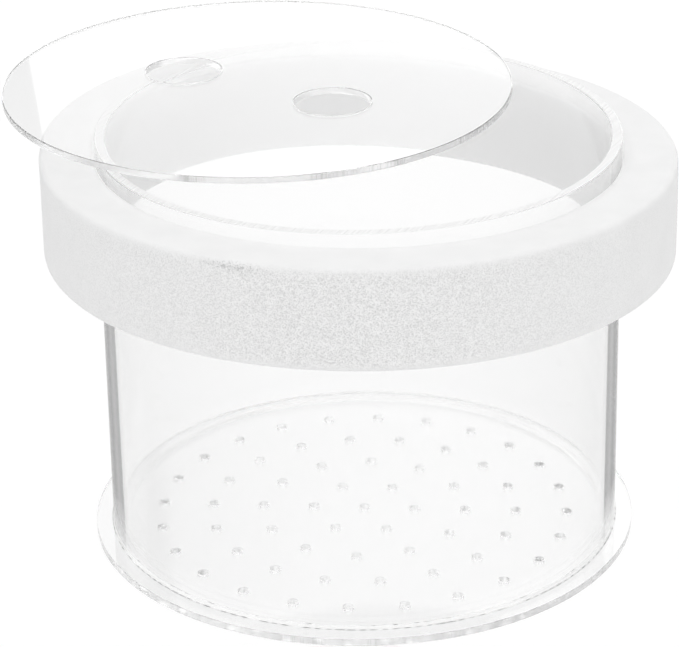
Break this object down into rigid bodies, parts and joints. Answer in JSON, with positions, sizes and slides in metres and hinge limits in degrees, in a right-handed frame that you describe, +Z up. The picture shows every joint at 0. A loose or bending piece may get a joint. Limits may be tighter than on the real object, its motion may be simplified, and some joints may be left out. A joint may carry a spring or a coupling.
{
  "type": "floating isolation box",
  "caption": "Clear round box that floats in a tank to keep small fish apart: drilled base plate, foam float collar and a loose lid with finger holes.",
  "frame": {"origin": "middle of the whole object's footprint, with the lid in its pictured place, on the plane that the base plate stands on; the tube's axis stands at x 7.3 mm, y -9.1 mm", "axes": "+Z up along the tube's axis, from base plate to rim; +X to the picture's right; +Y away from the picture's viewer"},
  "size_m": [0.1966, 0.2002, 0.1243],
  "materials": {
    "tube_acrylic": "polished",
    "base_acrylic": "polished",
    "cement": "gloss",
    "collar_foam": "matte",
    "lid_acrylic": "polished"
  },
  "bodies": {
    "tank": {"tube": "tube_acrylic", "base_plate": "base_acrylic", "outer_cement_bead": "cement", "inner_cement_bead": "cement"},
    "collar": {"foam_collar": "collar_foam"},
    "lid": {"lid": "lid_acrylic"}
  },
  "joints": [
    {"name": "collar_slide", "type": "slide", "parent": "tank", "child": "collar", "axis": [0, 0, 1], "range_m": [-0.081, 0.003]},
    {"name": "lid_lift", "type": "slide", "parent": "tank", "child": "lid", "axis": [0, 0, 1], "range_m": [0, 0.1]}
  ]
}
